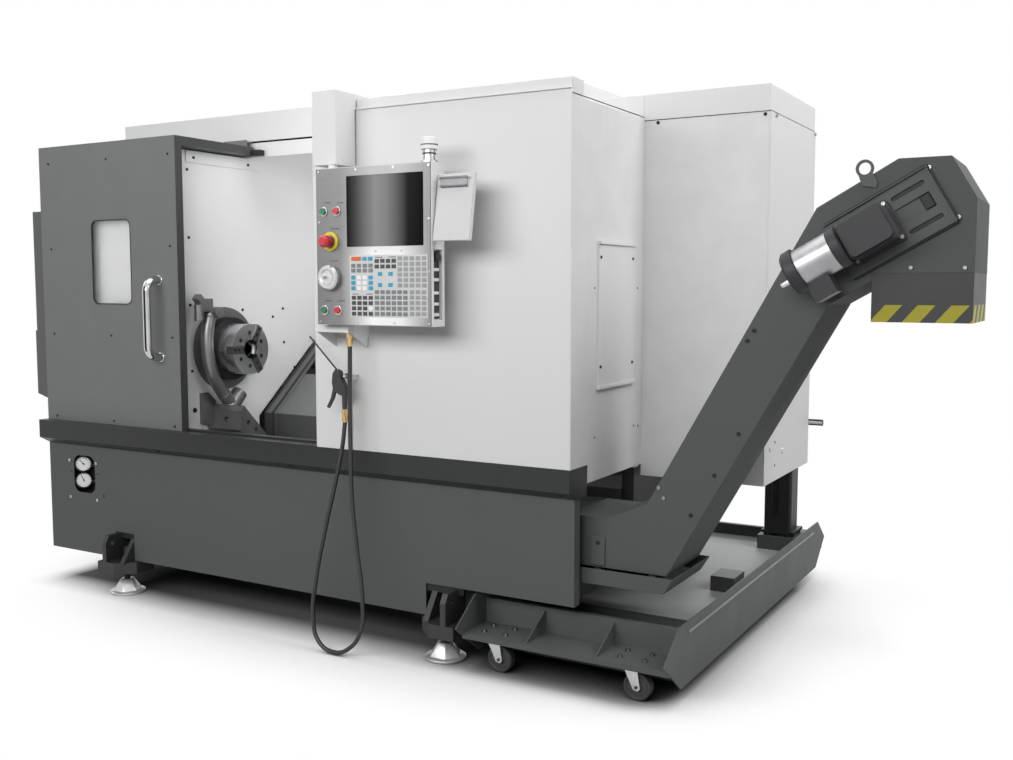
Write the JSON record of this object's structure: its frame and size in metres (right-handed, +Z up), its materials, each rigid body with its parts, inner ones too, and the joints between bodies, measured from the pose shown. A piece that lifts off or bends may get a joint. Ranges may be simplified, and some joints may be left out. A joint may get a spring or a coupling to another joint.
{
  "type": "cnc turning lathe",
  "caption": "Slant-bed turning lathe with a sliding door, chuck, turret, swivelling control pendant, roll-out coolant tank and inclined chip conveyor.",
  "frame": {"origin": "middle of the machine's box on the floor", "axes": "+X from the spindle towards the chip conveyor, +Y from the operator to the back, +Z up"},
  "size_m": [3.816, 2.066, 2.012],
  "materials": {
    "white_paint": "semi-gloss white paint",
    "graphite_paint": "textured dark grey paint",
    "black_paint": "satin black paint",
    "iron": "painted grey casting",
    "steel": "ground steel",
    "chrome": "polished chrome",
    "zinc": "bright zinc plate",
    "aluminium": "brushed",
    "rubber": "matt black rubber",
    "glass": "clear safety glass",
    "screen": "dark display glass",
    "brass": "turned brass",
    "red_plastic": "red",
    "green_plastic": "green",
    "pale_plastic": "off-white",
    "black_plastic": "black"
  },
  "bodies": {
    "machine": {"base_frame": "black_paint", "front_skirt": "graphite_paint", "front_rail": "black_paint", "left_end_cover": "graphite_paint", "spindle_wall": "white_paint", "front_panel": "white_paint", "right_side_panel": "white_paint", "access_cover": "white_paint", "roof_header": "white_paint", "rear_panel": "white_paint", "cabinet_body": "white_paint", "cabinet_lid": "white_paint", "headstock": "iron", "way_cover": "graphite_paint", "tool_setter_base": "iron", "pendant_post": "white_paint", "pendant_bracket": "white_paint", "levelling_feet": "zinc", "pressure_gauges": "pale_plastic", "coolant_tank": "graphite_paint", "coolant_pump": "black_paint", "caster_forks": "zinc", "conveyor_housing": "graphite_paint", "conveyor_belt": "steel", "conveyor_chute": "rubber", "conveyor_motor": "aluminium", "conveyor_gearbox": "black_paint", "motor_slide_plate": "graphite_paint", "lifting_eye": "graphite_paint", "drip_tray": "graphite_paint", "air_hose": "rubber", "hose_fittings": "brass", "air_gun": "black_plastic"},
    "door": {"door_panel": "graphite_paint", "door_window": "glass", "door_handle": "chrome"},
    "pendant": {"pendant_case": "white_paint", "pendant_face": "steel", "pendant_screen": "screen", "beacon_light": "pale_plastic", "clipboard": "white_paint"},
    "estop": {"estop_button": "red_plastic"},
    "jog": {"jog_wheel": "aluminium"},
    "green_start": {"green_start_button": "green_plastic"},
    "red_hold": {"red_hold_button": "red_plastic"},
    "green_power": {"green_power_button": "green_plastic"},
    "red_power": {"red_power_button": "red_plastic"},
    "spindle_chuck": {"spindle": "black_paint", "chuck_body": "steel"},
    "jaw_1": {"chuck_jaw_1": "steel"},
    "jaw_2": {"chuck_jaw_2": "steel"},
    "jaw_3": {"chuck_jaw_3": "steel"},
    "setter_arm": {"tool_setter_arm": "iron"},
    "saddle_body": {"saddle": "iron"},
    "cross_slide": {"turret_slide": "iron"},
    "turret": {"turret_disc": "steel"},
    "cab_door": {"cabinet_door": "white_paint"},
    "trigger": {"gun_trigger": "black_plastic"},
    "wheels_left": {"caster_wheels_left": "rubber"},
    "wheels_right": {"caster_wheels_right": "rubber"}
  },
  "joints": [
    {"name": "door_slide", "type": "slide", "parent": "machine", "child": "door", "axis": [1, 0, 0], "range_m": [0, 0.739]},
    {"name": "pendant_swivel", "type": "hinge", "parent": "machine", "child": "pendant", "pos_m": [-0.067, -0.929, 1.151], "axis": [0, 0, 1], "range_deg": [-90, 0]},
    {"name": "estop_push", "type": "slide", "parent": "pendant", "child": "estop", "axis": [0, 1, 0], "range_m": [0, 0.006], "stiffness_N_per_m": 2000},
    {"name": "jog_turn", "type": "hinge", "parent": "pendant", "child": "jog", "pos_m": [-0.034, -0.988, 1.308], "axis": [0, 1, 0], "continuous": true},
    {"name": "green_start_push", "type": "slide", "parent": "pendant", "child": "green_start", "axis": [0, 1, 0], "range_m": [0, 0.004], "stiffness_N_per_m": 1500},
    {"name": "red_hold_push", "type": "slide", "parent": "pendant", "child": "red_hold", "axis": [0, 1, 0], "range_m": [0, 0.004], "stiffness_N_per_m": 1500},
    {"name": "green_power_push", "type": "slide", "parent": "pendant", "child": "green_power", "axis": [0, 1, 0], "range_m": [0, 0.004], "stiffness_N_per_m": 1500},
    {"name": "red_power_push", "type": "slide", "parent": "pendant", "child": "red_power", "axis": [0, 1, 0], "range_m": [0, 0.004], "stiffness_N_per_m": 1500},
    {"name": "spindle_turn", "type": "hinge", "parent": "machine", "child": "spindle_chuck", "pos_m": [-0.907, -0.476, 1.018], "axis": [1, 0, 0], "continuous": true},
    {"name": "jaw_1_slide", "type": "slide", "parent": "spindle_chuck", "child": "jaw_1", "axis": [0, 1, 0], "range_m": [0, 0.0037]},
    {"name": "jaw_2_slide", "type": "slide", "parent": "spindle_chuck", "child": "jaw_2", "axis": [0, -0.5, -0.866], "range_m": [0, 0.0037]},
    {"name": "jaw_3_slide", "type": "slide", "parent": "spindle_chuck", "child": "jaw_3", "axis": [0, -0.5, 0.866], "range_m": [0, 0.0037]},
    {"name": "setter_swing", "type": "hinge", "parent": "machine", "child": "setter_arm", "pos_m": [-0.969, -0.507, 0.785], "axis": [0, 0.7193, 0.6947], "range_deg": [0, 90]},
    {"name": "saddle_slide", "type": "slide", "parent": "machine", "child": "saddle_body", "axis": [-1, 0, 0], "range_m": [0, 0.533]},
    {"name": "cross_slide_feed", "type": "slide", "parent": "saddle_body", "child": "cross_slide", "axis": [0, -0.766, -0.6428], "range_m": [0, 0.22]},
    {"name": "turret_index", "type": "hinge", "parent": "cross_slide", "child": "turret", "pos_m": [0.093, -0.11021, 1.32493], "axis": [1, 0, 0], "continuous": true},
    {"name": "cabinet_door_hinge", "type": "hinge", "parent": "machine", "child": "cab_door", "pos_m": [1.2284, 0.309, 1.2], "axis": [0, 0, 1], "range_deg": [0, 90]},
    {"name": "trigger_squeeze", "type": "hinge", "parent": "machine", "child": "trigger", "pos_m": [-0.095, -0.894, 0.969], "axis": [0, -1, 0], "range_deg": [0, 12], "stiffness_Nm_per_rad": 0.6},
    {"name": "wheels_left_roll", "type": "hinge", "parent": "machine", "child": "wheels_left", "pos_m": [0.511, 0.018, 0.0455], "axis": [0, 1, 0], "continuous": true},
    {"name": "wheels_right_roll", "type": "hinge", "parent": "machine", "child": "wheels_right", "pos_m": [1.003, 0.018, 0.0455], "axis": [0, 1, 0], "continuous": true}
  ],
  "couplings": [
    {"joint": "jaw_2_slide", "follows": "jaw_1_slide", "ratio": 1},
    {"joint": "jaw_3_slide", "follows": "jaw_1_slide", "ratio": 1}
  ]
}
